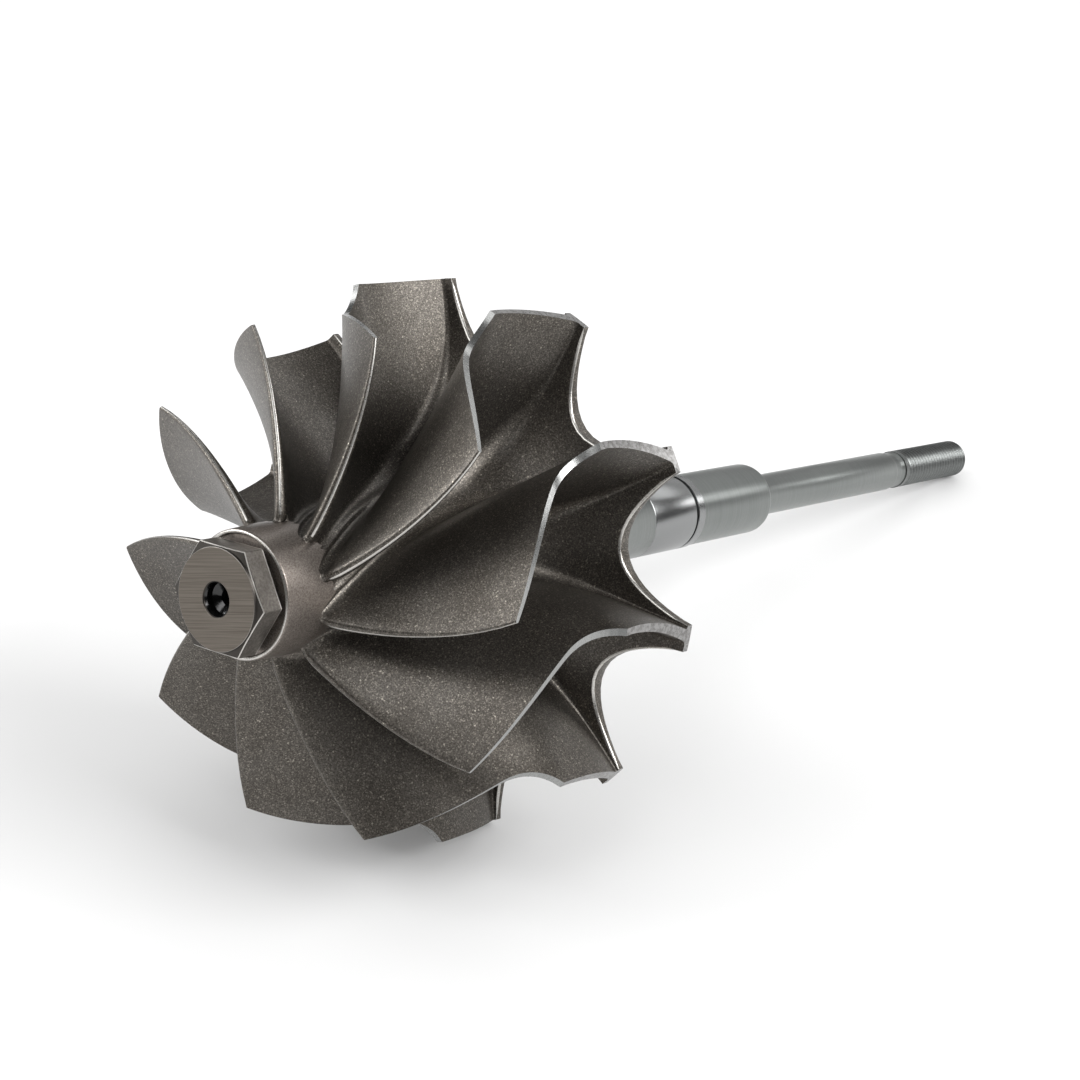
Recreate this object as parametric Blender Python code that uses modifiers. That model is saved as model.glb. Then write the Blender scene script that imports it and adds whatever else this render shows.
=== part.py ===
"""Turbocharger turbine wheel on its shaft: a ten-bladed radial wheel with a scalloped back disc.

Every piece is modelled about the rotor's own axis, local +Z, which runs from the nose to the
threaded end; z = 0 is the plane of the blades' outlet tips. One empty then lays the rotor down
on two blade tips and the end of its shaft. Metres, with world +Z up.
"""
import bpy
import bmesh
from math import atan2, cos, pi, radians, sin, sqrt
from mathutils import Matrix, Vector

# Wheel
BLADE_COUNT = 10
OUTLET_RADIUS = 0.0320
INLET_RADIUS = 0.0359
INLET_FRONT = 0.0166
SHROUD_ARC_RADIUS = 0.0068
OUTLET_ROOT_RADIUS = 0.0081
OUTLET_ROOT_Z = -0.0062
TURNING_Z = 0.0179
OUTLET_WRAP = radians(31.3)
TURNING_WRAP = radians(-4.9)
INLET_WRAP_RISE = radians(5.0)
BLADE_BOW = radians(11.0)
BLADE_TIP_THICKNESS = 0.0011
BLADE_ROOT_THICKNESS = 0.0026
OUTLET_EDGE_THICKNESS = 0.0005
INLET_EDGE_THICKNESS = 0.0008

# Hub and back disc
HUB_FRONT_Z = -0.0064
HUB_SHAPE_POWER = 2.65
DISC_SPLIT_Z = 0.0256
DISC_BACK_Z = 0.03085
RIM_THICKNESS = 0.0010
BELL_LENGTH = DISC_BACK_Z - RIM_THICKNESS - HUB_FRONT_Z
BELL_HEIGHT = INLET_RADIUS - OUTLET_ROOT_RADIUS
SCALLOP_BOTTOM_RADIUS = 0.0260
SCALLOP_SHARPNESS = 97.0
BACK_DISH_RADIUS = 0.0215
BACK_DISH_DEPTH = 0.0016

# Nose
NOSE_FACE_Z = -0.0157
HEX_BACK_Z = -0.0122
HEX_ACROSS_FLATS = 0.0127
HEX_TURN = radians(24.2)
CENTRE_HOLE_RADIUS = 0.0021
CENTRE_HOLE_DEPTH = 0.0030
COLLAR_RADIUS = 0.0079

# Shaft
BOSS_RADIUS = 0.0092
BOSS_END_Z = 0.0368
SEAL_RADIUS = 0.00555
WELD_Z = 0.0669
GROOVE_Z = 0.0776
GROOVE_WIDTH = 0.0010
GROOVE_DEPTH = 0.0007
JOURNAL_RADIUS = 0.00538
JOURNAL_START_Z = 0.0800
JOURNAL_END_Z = 0.0995
JOURNAL_CHAMFER = 0.0013
STEM_RADIUS = 0.0032
SHOULDER_FILLET = 0.0002
SPIGOT_LENGTH = 0.0015
NECK_RADIUS = 0.0029
NECK_Z = 0.1455
THREAD_START_Z = 0.1470
THREAD_RADIUS = 0.003175
THREAD_DEPTH = 0.00035
THREAD_PITCH = 0.0016
SHAFT_END_Z = 0.1698
END_CHAMFER = 0.0006

GAP = 0.0003
TURNED_STEPS = 60
SHAFT_STEPS = 36
CHORD_STATIONS = 14
SPAN_STATIONS = 5
HUB_STATIONS = 18

CAST_ALLOY = ((0.115, 0.105, 0.098), 0.42, 0.9)
CAST_BLADE = ((0.125, 0.115, 0.107), 0.45, 0.9)
GROUND_STEEL = ((0.44, 0.46, 0.45), 0.28, 1.0)

parts = bpy.data.collections.new("turbine_wheel")
cutters = bpy.data.collections.new("turbine_wheel_cutters")


def clear_scene():
    for obj in list(bpy.data.objects):
        bpy.data.objects.remove(obj, do_unlink=True)
    bpy.context.scene.collection.children.link(parts)
    bpy.context.scene.collection.children.link(cutters)


def material(name, look):
    colour, roughness, metallic = look
    mat = bpy.data.materials.new(name)
    mat.use_nodes = True
    shader = mat.node_tree.nodes["Principled BSDF"]
    shader.inputs["Base Color"].default_value = (*colour, 1.0)
    shader.inputs["Roughness"].default_value = roughness
    shader.inputs["Metallic"].default_value = metallic
    mat.diffuse_color = (*colour, 1.0)
    return mat


def add_part(name, mesh, look, rotor):
    obj = bpy.data.objects.new(name, mesh)
    obj.data.materials.append(material(name, look))
    obj.parent = rotor
    parts.objects.link(obj)
    return obj


def add_cutter(name, mesh, rotor):
    obj = bpy.data.objects.new(name, mesh)
    obj.parent = rotor
    obj.hide_render = True
    obj.display_type = "WIRE"
    cutters.objects.link(obj)
    return obj


def cut(target, cutter):
    boolean = target.modifiers.new("cut by " + cutter.name, "BOOLEAN")
    boolean.operation = "DIFFERENCE"
    boolean.solver = "EXACT"
    boolean.object = cutter


def profile_mesh(name, profile):
    """Mesh of the half section that Screw turns about local Z: (radius, z), on the side facing +X."""
    mesh = bpy.data.meshes.new(name)
    points = [(radius, 0.0, z) for radius, z in profile]
    mesh.from_pydata(points, [(i, i + 1) for i in range(len(points) - 1)], [])
    return mesh


def turn(obj, steps):
    screw = obj.modifiers.new("turned", "SCREW")
    screw.steps = steps
    screw.render_steps = steps
    screw.use_merge_vertices = True
    screw.merge_threshold = 0.0001
    screw.use_smooth_shade = False


def turned_part(name, profile, look, rotor, steps):
    """Turned solid from its outer profile, listed from its +Z end to its -Z end."""
    obj = add_part(name, profile_mesh(name, profile), look, rotor)
    turn(obj, steps)
    return obj


def hub_radius(z):
    """Radius of the hub and of the disc's front face at z: a bell that opens from nose to rim."""
    share = min(max((z - HUB_FRONT_Z) / BELL_LENGTH, 0.0), 1.0)
    return INLET_RADIUS - BELL_HEIGHT * (1.0 - share ** HUB_SHAPE_POWER) ** (1.0 / HUB_SHAPE_POWER)


def hub_point(sweep):
    """Point (radius, z) on the same bell, where sweep runs from 0 at the nose to pi / 2 at the rim."""
    ahead, out = abs(sin(sweep)), abs(cos(sweep))
    reach = (ahead ** HUB_SHAPE_POWER + out ** HUB_SHAPE_POWER) ** (-1.0 / HUB_SHAPE_POWER)
    return INLET_RADIUS - BELL_HEIGHT * reach * out, HUB_FRONT_Z + BELL_LENGTH * reach * ahead


def sweep_at(z):
    """Sweep of hub_point where the bell crosses the plane at z."""
    return atan2((z - HUB_FRONT_Z) / BELL_LENGTH, (INLET_RADIUS - hub_radius(z)) / BELL_HEIGHT)


def bell_profile(start, end, count):
    """Points of the bell from angle start to angle end."""
    return [hub_point(start + (end - start) * i / count) for i in range(count + 1)]


def build_hub(rotor):
    bell = bell_profile(sweep_at(DISC_SPLIT_Z), 0.0, HUB_STATIONS)
    profile = [(0.0, DISC_SPLIT_Z - GAP)]
    profile += [(radius, z) for radius, z in bell if z < DISC_SPLIT_Z - GAP]
    profile.insert(1, (hub_radius(DISC_SPLIT_Z - GAP), DISC_SPLIT_Z - GAP))
    profile.append((0.0, HUB_FRONT_Z))
    turned_part("hub", profile, CAST_ALLOY, rotor, TURNED_STEPS)


def scallop_outline():
    """Half-open parabola between two blades: (x, radius) points, deepest at x = 0."""
    reach = 0.0110
    steps = 9
    points = []
    for i in range(-steps, steps + 1):
        x = reach * i / steps
        points.append((x, SCALLOP_BOTTOM_RADIUS + SCALLOP_SHARPNESS * x * x))
    return points


def scallop_cutter(rotor):
    """All ten scallops as one cutter: each a prism along the axis."""
    outline = scallop_outline()
    mesh = bpy.data.meshes.new("scallops")
    bm = bmesh.new()
    for k in range(BLADE_COUNT):
        facing = pi / 2.0 + 2.0 * pi * k / BLADE_COUNT
        spin = Matrix.Rotation(facing - pi / 2.0, 4, "Z")
        low = [bm.verts.new(spin @ Vector((x, y, DISC_SPLIT_Z - 0.02))) for x, y in outline]
        high = [bm.verts.new(spin @ Vector((x, y, DISC_BACK_Z + 0.01))) for x, y in outline]
        count = len(outline)
        for i in range(count):
            j = (i + 1) % count
            bm.faces.new((low[i], low[j], high[j], high[i]))
        bm.faces.new(list(reversed(low)))
        bm.faces.new(high)
    bmesh.ops.recalc_face_normals(bm, faces=bm.faces)
    bm.to_mesh(mesh)
    bm.free()
    return add_cutter("scallops", mesh, rotor)


def build_back_disc(rotor):
    front = bell_profile(pi / 2.0, sweep_at(DISC_SPLIT_Z), HUB_STATIONS)
    profile = [
        (0.0, DISC_BACK_Z - BACK_DISH_DEPTH),
        (BACK_DISH_RADIUS - 2.0 * BACK_DISH_DEPTH, DISC_BACK_Z - BACK_DISH_DEPTH),
        (BACK_DISH_RADIUS, DISC_BACK_Z),
        (INLET_RADIUS, DISC_BACK_Z),
    ]
    profile += [(radius, z) for radius, z in front if z > DISC_SPLIT_Z]
    profile += [(hub_radius(DISC_SPLIT_Z), DISC_SPLIT_Z), (0.0, DISC_SPLIT_Z)]
    disc = turned_part("back_disc", profile, CAST_ALLOY, rotor, 6 * BLADE_COUNT)
    cut(disc, scallop_cutter(rotor))


def wrap_angle(z):
    """Angle of a blade's mid surface at z, from the middle of its own tip plate."""
    if z < TURNING_Z:
        return TURNING_WRAP + OUTLET_WRAP * ((TURNING_Z - z) / TURNING_Z) ** 2
    return TURNING_WRAP + INLET_WRAP_RISE * ((z - TURNING_Z) / (DISC_BACK_Z - TURNING_Z)) ** 2


def wrap_slope(z):
    """Turn of the mid surface for each metre along the axis."""
    if z < TURNING_Z:
        return -2.0 * OUTLET_WRAP * (TURNING_Z - z) / TURNING_Z ** 2
    return 2.0 * INLET_WRAP_RISE * (z - TURNING_Z) / (DISC_BACK_Z - TURNING_Z) ** 2


def shroud_point(share):
    """Point (radius, z) on the machined outer edge, share 0 at the outlet and 1 at the inlet."""
    z = INLET_FRONT * share
    end_sine = sqrt(1.0 - (1.0 - (INLET_RADIUS - OUTLET_RADIUS) / SHROUD_ARC_RADIUS) ** 2)
    arc_start = INLET_FRONT - SHROUD_ARC_RADIUS * end_sine
    if z <= arc_start:
        return OUTLET_RADIUS, z
    along = min((z - arc_start) / SHROUD_ARC_RADIUS, end_sine)
    return OUTLET_RADIUS + SHROUD_ARC_RADIUS * (1.0 - sqrt(1.0 - along * along)), z


def root_point(share):
    """Point (radius, z) of the blade's foot, just clear of the hub and of the disc's front."""
    first = sweep_at(OUTLET_ROOT_Z)
    sweep = first + (pi / 2.0 - first) * share
    before = Vector(hub_point(max(sweep - 0.01, 0.0)))
    after = Vector(hub_point(min(sweep + 0.01, pi / 2.0)))
    along = (after - before).normalized()
    radius, z = hub_point(sweep)
    return radius + GAP * along.y, z - GAP * along.x


def blade_half_angle(radius, z, thickness):
    """Half the blade's width as an angle about the axis, for a thickness square to the blade."""
    slant = sqrt(1.0 + (radius * wrap_slope(z)) ** 2)
    return 0.5 * thickness * slant / radius


def blade_thickness(share, span):
    """Thickness square to the blade: thin along its free edges, thickest in the middle of its root."""
    bulge = sin(pi * share) ** 0.7 if 0.0 < share < 1.0 else 0.0
    edge = OUTLET_EDGE_THICKNESS + (INLET_EDGE_THICKNESS - OUTLET_EDGE_THICKNESS) * share
    root = 1.5 * edge + (BLADE_ROOT_THICKNESS - 1.5 * edge) * bulge
    tip = edge + (BLADE_TIP_THICKNESS - edge) * bulge
    return tip + (root - tip) * (1.0 - span) ** 1.3


def blade_bow(share, span):
    """Sideways bow of the outlet half as an angle: none at the foot, the outer edge and the inlet."""
    return -BLADE_BOW * sqrt(span) * (1.0 - span) ** 1.8 * (1.0 - share) ** 2


def blade_mesh(name, tip_angle):
    """Lofted blade: fibres from root to outer edge, skinned on both sides."""
    bm = bmesh.new()
    sides = {-1: [], 1: []}
    for i in range(CHORD_STATIONS):
        share = i / (CHORD_STATIONS - 1)
        root = Vector(root_point(share))
        edge = Vector(shroud_point(share))
        for side in sides:
            row = []
            for j in range(SPAN_STATIONS):
                span = j / (SPAN_STATIONS - 1)
                radius, z = root.lerp(edge, span)
                width = blade_half_angle(radius, z, blade_thickness(share, span))
                angle = tip_angle + wrap_angle(z) + blade_bow(share, span) + side * width
                row.append(bm.verts.new((radius * cos(angle), radius * sin(angle), z)))
            sides[side].append(row)
    skin(bm, sides[-1], sides[1])
    bmesh.ops.recalc_face_normals(bm, faces=bm.faces)
    mesh = bpy.data.meshes.new(name)
    bm.to_mesh(mesh)
    bm.free()
    return mesh


def skin(bm, left, right):
    """Faces over two grids of vertices and the strip that closes their common border."""
    rows, columns = len(left), len(left[0])
    for i in range(rows - 1):
        for j in range(columns - 1):
            for grid in (left, right):
                bm.faces.new((grid[i][j], grid[i + 1][j], grid[i + 1][j + 1], grid[i][j + 1]))
    border = [(i, 0) for i in range(rows)]
    border += [(rows - 1, j) for j in range(1, columns)]
    border += [(i, columns - 1) for i in range(rows - 2, -1, -1)]
    border += [(0, j) for j in range(columns - 2, 0, -1)]
    for here, there in zip(border, border[1:] + border[:1]):
        bm.faces.new((left[here[0]][here[1]], left[there[0]][there[1]],
                      right[there[0]][there[1]], right[here[0]][here[1]]))


def plate_angle(k):
    """Angle of the middle of tip plate k; two neighbours straddle +Y, the side that lies lowest."""
    return pi / 2.0 + (k + 0.5) * 2.0 * pi / BLADE_COUNT


def build_blades(rotor):
    for k in range(BLADE_COUNT):
        name = f"blade_{k + 1:02d}"
        add_part(name, blade_mesh(name, plate_angle(k)), CAST_BLADE, rotor)


def build_collar(rotor):
    front = HEX_BACK_Z + GAP
    profile = [
        (0.0, HUB_FRONT_Z - GAP),
        (OUTLET_ROOT_RADIUS, HUB_FRONT_Z - GAP),
        (COLLAR_RADIUS, front + 0.0006),
        (COLLAR_RADIUS - 0.0004, front),
        (0.0, front),
    ]
    turned_part("nose_collar", profile, CAST_ALLOY, rotor, TURNED_STEPS)


def build_hex_nose(rotor):
    """Hexagon for a spanner, its corners turned off at the front, with a centre-drilled hole."""
    mesh = bpy.data.meshes.new("hex_nose")
    bm = bmesh.new()
    corner = HEX_ACROSS_FLATS / 2.0 / cos(pi / 6.0)
    length = HEX_BACK_Z - NOSE_FACE_Z
    middle = Matrix.Translation((0.0, 0.0, NOSE_FACE_Z + length / 2.0))
    turned = middle @ Matrix.Rotation(HEX_TURN, 4, "Z")
    bmesh.ops.create_cone(bm, cap_ends=True, segments=6, radius1=corner, radius2=corner,
                          depth=length, matrix=turned)
    bm.to_mesh(mesh)
    bm.free()
    nose = add_part("hex_nose", mesh, CAST_ALLOY, rotor)
    cut(nose, corner_cutter(rotor, corner))
    cut(nose, centre_drill(rotor))


def corner_cutter(rotor, corner):
    """Ring whose cone takes the hexagon's front corners down to a round face."""
    face_radius = HEX_ACROSS_FLATS / 2.0
    drop = 0.0007
    outer = corner + 0.002
    run = (outer - face_radius) / (corner - face_radius) * drop
    profile = [
        (face_radius, NOSE_FACE_Z),
        (outer, NOSE_FACE_Z + run),
        (outer, NOSE_FACE_Z - 0.002),
        (face_radius, NOSE_FACE_Z - 0.002),
        (face_radius, NOSE_FACE_Z),
    ]
    mesh = profile_mesh("corner_ring", profile)
    obj = add_cutter("corner_ring", mesh, rotor)
    turn(obj, SHAFT_STEPS)
    return obj


def centre_drill(rotor):
    """Countersink and drilled hole in the nose's face."""
    mouth = CENTRE_HOLE_RADIUS
    profile = [
        (0.0, NOSE_FACE_Z + CENTRE_HOLE_DEPTH),
        (mouth * 0.45, NOSE_FACE_Z + CENTRE_HOLE_DEPTH - mouth * 0.25),
        (mouth * 0.45, NOSE_FACE_Z + mouth * 0.95),
        (mouth, NOSE_FACE_Z),
        (mouth * 1.4, NOSE_FACE_Z - mouth * 0.7),
        (0.0, NOSE_FACE_Z - mouth * 0.7),
    ]
    obj = add_cutter("centre_drill", profile_mesh("centre_drill", profile), rotor)
    turn(obj, SHAFT_STEPS)
    return obj


def build_shaft(rotor):
    disc_face = DISC_BACK_Z - BACK_DISH_DEPTH
    fillet = BOSS_RADIUS - SEAL_RADIUS
    boss = [
        (0.0, BOSS_END_Z),
        (SEAL_RADIUS, BOSS_END_Z),
        (SEAL_RADIUS + 0.12 * fillet, BOSS_END_Z - 0.45 * fillet),
        (SEAL_RADIUS + 0.42 * fillet, BOSS_END_Z - 0.85 * fillet),
        (BOSS_RADIUS, BOSS_END_Z - fillet),
        (BOSS_RADIUS, disc_face + GAP),
        (0.0, disc_face + GAP),
    ]
    turned_part("shaft_boss", boss, CAST_ALLOY, rotor, SHAFT_STEPS)
    plain_rod("weld_hub", SEAL_RADIUS, BOSS_END_Z + GAP, WELD_Z, rotor)
    build_ring_land(rotor)
    build_journal(rotor)
    plain_rod("shaft_stem", STEM_RADIUS, JOURNAL_END_Z + SPIGOT_LENGTH + GAP, NECK_Z, rotor)
    plain_rod("thread_neck", NECK_RADIUS, NECK_Z + GAP, THREAD_START_Z, rotor)
    build_thread(rotor)


def plain_rod(name, radius, start, end, rotor):
    profile = [(0.0, end), (radius, end), (radius, start), (0.0, start)]
    turned_part(name, profile, GROUND_STEEL, rotor, SHAFT_STEPS)


def build_ring_land(rotor):
    """Land behind the weld, with the groove that a sealing ring sits in."""
    low = SEAL_RADIUS - GROOVE_DEPTH
    start, end = WELD_Z + GAP, JOURNAL_START_Z
    profile = [
        (0.0, end),
        (SEAL_RADIUS, end),
        (SEAL_RADIUS, GROOVE_Z + GROOVE_WIDTH),
        (low, GROOVE_Z + GROOVE_WIDTH),
        (low, GROOVE_Z),
        (SEAL_RADIUS, GROOVE_Z),
        (SEAL_RADIUS, start),
        (0.0, start),
    ]
    turned_part("ring_land", profile, GROUND_STEEL, rotor, SHAFT_STEPS)


def build_journal(rotor):
    """Journal with the ring-shaped shoulder that the thrust collar is clamped against."""
    start, end = JOURNAL_START_Z + GAP, JOURNAL_END_Z
    profile = [
        (0.0, end + SPIGOT_LENGTH),
        (STEM_RADIUS, end + SPIGOT_LENGTH),
        (STEM_RADIUS, end + SHOULDER_FILLET),
        (STEM_RADIUS + SHOULDER_FILLET, end),
        (JOURNAL_RADIUS - JOURNAL_CHAMFER, end),
        (JOURNAL_RADIUS - 0.35 * JOURNAL_CHAMFER, end - 0.35 * JOURNAL_CHAMFER),
        (JOURNAL_RADIUS, end - JOURNAL_CHAMFER),
        (JOURNAL_RADIUS, start),
        (0.0, start),
    ]
    turned_part("bearing_journal", profile, GROUND_STEEL, rotor, SHAFT_STEPS)


def build_thread(rotor):
    """Threaded end, its thread drawn as a stack of rings, with a chamfered tip."""
    start = THREAD_START_Z + GAP
    tip = THREAD_RADIUS - END_CHAMFER
    profile = [(0.0, SHAFT_END_Z), (tip, SHAFT_END_Z), (THREAD_RADIUS, SHAFT_END_Z - END_CHAMFER)]
    crest = SHAFT_END_Z - END_CHAMFER
    turns = int((crest - start - THREAD_PITCH) / THREAD_PITCH)
    for i in range(turns):
        z = crest - (i + 0.4) * THREAD_PITCH
        profile.append((THREAD_RADIUS - THREAD_DEPTH, z - 0.3 * THREAD_PITCH))
        profile.append((THREAD_RADIUS, z - 0.6 * THREAD_PITCH))
    profile += [(NECK_RADIUS, start), (0.0, start)]
    turned_part("threaded_end", profile, GROUND_STEEL, rotor, 24)


def lie_down(rotor):
    """Tilt the rotor onto two tip plates and its threaded end, then centre it over the origin."""
    half_plate = atan2(0.5 * plate_width(), INLET_RADIUS)
    drop = INLET_RADIUS * cos(pi / BLADE_COUNT - half_plate)
    shaft_contact = SHAFT_END_Z - END_CHAMFER
    tilt = atan2(drop - THREAD_RADIUS, shaft_contact - DISC_BACK_Z)
    rotor.rotation_euler = (-pi / 2.0 - tilt, 0.0, 0.0)
    bpy.context.view_layer.update()
    low, high = world_bounds()
    rotor.location = (-0.5 * (low.x + high.x), -0.5 * (low.y + high.y), -low.z)
    bpy.context.view_layer.update()


def plate_width():
    """Width of the tip plate that two scallops leave at the rim."""
    mouth = sqrt((INLET_RADIUS * cos(radians(15.0)) - SCALLOP_BOTTOM_RADIUS) / SCALLOP_SHARPNESS)
    return 2.0 * INLET_RADIUS * (pi / BLADE_COUNT - atan2(mouth, INLET_RADIUS * cos(radians(15.0))))


def world_bounds():
    """Lowest and highest corner of all parts, with their modifiers, in world space."""
    graph = bpy.context.evaluated_depsgraph_get()
    corners = []
    for obj in parts.objects:
        if obj.type != "MESH":
            continue
        evaluated = obj.evaluated_get(graph)
        mesh = evaluated.to_mesh()
        corners += [evaluated.matrix_world @ vertex.co for vertex in mesh.vertices]
        evaluated.to_mesh_clear()
    low = Vector([min(corner[axis] for corner in corners) for axis in range(3)])
    high = Vector([max(corner[axis] for corner in corners) for axis in range(3)])
    return low, high


def build():
    clear_scene()
    rotor = bpy.data.objects.new("rotor_axis", None)
    parts.objects.link(rotor)
    build_hub(rotor)
    build_back_disc(rotor)
    build_blades(rotor)
    build_collar(rotor)
    build_hex_nose(rotor)
    build_shaft(rotor)
    lie_down(rotor)


build()
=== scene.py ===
from math import acos, atan2, cos, exp, hypot, pi, radians, sin, sqrt

import bmesh
import bpy
from mathutils import Matrix, Vector


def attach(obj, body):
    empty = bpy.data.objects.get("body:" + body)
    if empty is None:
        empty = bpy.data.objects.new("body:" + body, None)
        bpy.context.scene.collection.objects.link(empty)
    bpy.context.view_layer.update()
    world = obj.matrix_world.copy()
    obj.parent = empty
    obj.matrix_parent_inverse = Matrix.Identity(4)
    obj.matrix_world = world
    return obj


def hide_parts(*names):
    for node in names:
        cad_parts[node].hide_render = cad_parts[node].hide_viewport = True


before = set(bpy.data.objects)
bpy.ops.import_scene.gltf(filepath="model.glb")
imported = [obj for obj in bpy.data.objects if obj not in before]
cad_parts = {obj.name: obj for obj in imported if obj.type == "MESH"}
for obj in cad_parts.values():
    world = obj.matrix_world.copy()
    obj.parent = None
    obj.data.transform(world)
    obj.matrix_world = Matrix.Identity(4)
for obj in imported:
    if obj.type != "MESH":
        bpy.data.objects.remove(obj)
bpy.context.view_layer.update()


# Studio. The rotor lies on a white table in a white surround, as for a catalogue. Soft box lights
# stand round it: two strong ones at the right and in front, and weaker ones that fill the passages
# between the blades and draw the streaks along the shaft. The camera looks down at the nose.
CAMERA_PLACE = (0.17116, -0.248934, 0.165673)
CAMERA_RIGHT = (0.7791, 0.6262, 0.0307)
CAMERA_UP = (-0.2963, 0.3246, 0.8983)
CAMERA_AHEAD = (-0.5525, 0.7089, -0.4384)
CAMERA_LENS = 74.92
CAMERA_SENSOR = 36.0
SURROUND_STRENGTH = 0.75
LIGHT_DISTANCE = 1.2
WHEEL_MIDDLE = Vector((0.0, -0.060, 0.036))
SOFT_LIGHTS = {  # degrees round from +X, degrees up, width, height, watts
    "right_light": (16, 38, 0.90, 0.60, 15.0),
    "front_light": (217, 22, 0.62, 0.40, 7.2),
    "overhead_light": (264, 55, 1.00, 0.46, 4.8),
    "left_light": (178, 26, 0.40, 0.50, 2.4),
    "back_light": (104, 38, 1.40, 0.40, 3.4),
    "far_light": (96, 15, 1.50, 0.34, 1.15),
    "far_strip": (66, 12, 0.30, 0.17, 0.80),
}
TABLE_REACH = 4.0
TABLE_WHITE = (0.6, 0.6, 0.6, 1.0)
TABLE_ROUGHNESS = 0.9

scene = bpy.context.scene


def placed(name, data):
    """New object in the scene."""
    obj = bpy.data.objects.new(name, data)
    scene.collection.objects.link(obj)
    return obj


camera_data = bpy.data.cameras.new("camera")
camera_data.lens, camera_data.sensor_width = CAMERA_LENS, CAMERA_SENSOR
camera_data.clip_start, camera_data.clip_end = 0.01, 20.0
camera = placed("camera", camera_data)
turned = Matrix((CAMERA_RIGHT, CAMERA_UP, [-part for part in CAMERA_AHEAD])).transposed()
camera.matrix_world = Matrix.Translation(CAMERA_PLACE) @ turned.to_4x4()
scene.camera = camera
scene.view_settings.view_transform = "Standard"

for name, (around, above, width, height, power) in SOFT_LIGHTS.items():
    lamp = bpy.data.lights.new(name, "AREA")
    lamp.shape = "RECTANGLE"
    lamp.size, lamp.size_y, lamp.energy = width, height, power
    light = placed(name, lamp)
    out = Matrix.Rotation(radians(around), 3, "Z") @ Vector((cos(radians(above)), 0.0, sin(radians(above))))
    light.location = WHEEL_MIDDLE + out * LIGHT_DISTANCE
    light.rotation_euler = (-out).to_track_quat("-Z", "Y").to_euler()

surround = bpy.data.worlds.new("white_surround")
surround.use_nodes = True
backdrop = surround.node_tree.nodes["Background"]
backdrop.inputs["Color"].default_value = (1.0, 1.0, 1.0, 1.0)
backdrop.inputs["Strength"].default_value = SURROUND_STRENGTH
surround.cycles_visibility.glossy = False
scene.world = surround

table_mesh = bpy.data.meshes.new("table")
table_mesh.from_pydata([(x * TABLE_REACH, y * TABLE_REACH, 0.0)
                        for x, y in ((-1, -1), (1, -1), (1, 1), (-1, 1))], [], [(0, 1, 2, 3)])
table = placed("table", table_mesh)
table_paint = bpy.data.materials.new("white_table")
table_paint.use_nodes = True
paint = table_paint.node_tree.nodes["Principled BSDF"]
paint.inputs["Base Color"].default_value = TABLE_WHITE
paint.inputs["Roughness"].default_value = TABLE_ROUGHNESS
table_mesh.materials.append(table_paint)


# Wheel casting. Ten curved blades, their hub, the scalloped back disc and the boss behind it are one
# investment casting in nickel alloy. The blades' outer edges are ground to the housing's contour and
# the rim and boss are turned; everything else keeps the grainy skin of the mould. Bright specks in
# that skin are painted glints, and the bright line along the rounded outlet edges and the lips is a
# painted highlight.
BLADES = 10
PITCH = 2.0 * pi / BLADES
OUTLET_RADIUS = 0.0320
INLET_RADIUS = 0.0359
INLET_FRONT = 0.0166
SHROUD_ARC_RADIUS = 0.0068
OUTLET_ROOT_RADIUS = 0.0081
OUTLET_ROOT_Z = -0.0062
TURNING_Z = 0.0179
OUTLET_WRAP = radians(31.3)
TURNING_WRAP = radians(-4.9)
INLET_WRAP_RISE = radians(5.0)
BLADE_BOW = radians(11.0)
BLADE_TIP_THICKNESS = 0.00078
BLADE_ROOT_THICKNESS = 0.0026
OUTLET_EDGE_THICKNESS = 0.0005
INLET_EDGE_THICKNESS = 0.0009
EDGE_FOOT_THICKNESS = 0.0015
EDGE_CREST = 0.00028
CREST_SHARE = 0.38
OUTLET_EDGE_SHARE = 0.006
EDGE_SHIFT_SHARE = 0.12
BOW_FADE_POWER = 1.8
BULGE_POWER = 0.7
TAPER_POWER = 1.3
HUB_FRONT_Z = -0.0064
HUB_SHAPE_POWER = 2.65
DISC_BACK_Z = 0.03085
RIM_THICKNESS = 0.0010
BELL_LENGTH = DISC_BACK_Z - RIM_THICKNESS - HUB_FRONT_Z
BELL_HEIGHT = INLET_RADIUS - OUTLET_ROOT_RADIUS
SCALLOP_BOTTOM_RADIUS = 0.0260
SCALLOP_SHARPNESS = 97.0
SCALLOP_WIDEST = 0.02
SCALLOP_STEPS = 800
# radius, distance along the axis from the disc's back
BACK_FACE = ((0.0222, 0.0), (0.0215, 0.0), (0.0211, -0.0001), (0.0187, -0.0015), (0.0181, -0.0016),
             (0.0150, -0.0016), (0.0112, -0.0016), (0.0100, -0.0014), (0.0094, -0.0008))
BOSS_RADIUS = 0.0092
BOSS_END_Z = 0.0368
SEAL_RADIUS = 0.00555
JOINT_LAP = 0.0003
JOINT_CHAMFER = 0.0001
FRONT_LIP, FRONT_LIP_STEPS = 0.0005, 4
BACK_LIP, BACK_LIP_STEPS = 0.00025, 3
LIP_RUN_IN = 0.0016
# radius on the hub, radius of the fillet
ROOT_FILLETS = ((0.0081, 0.0019), (0.0134, 0.0027), (0.0150, 0.0023), (0.0170, 0.0021),
                (0.0206, 0.0016), (0.0233, 0.0010), (0.0290, 0.00045), (0.0360, 0.0004))
FRONT_FILLET_SHARE = 0.35
FRONT_FILLET_END = -0.0020
FILLET_GAP = 0.0001
PARTING_BEAD = 0.00004
BEAD_GAP = 0.0006
BEAD_RUN_IN = 0.0020
COLLAR_RADIUS = 0.00786
COLLAR_BACK_RADIUS = 0.00808
COLLAR_JOINT_Z = -0.0072
COLLAR_CAP_RADIUS = 0.0040
COLLAR_DRAFT = 0.000004
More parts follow.
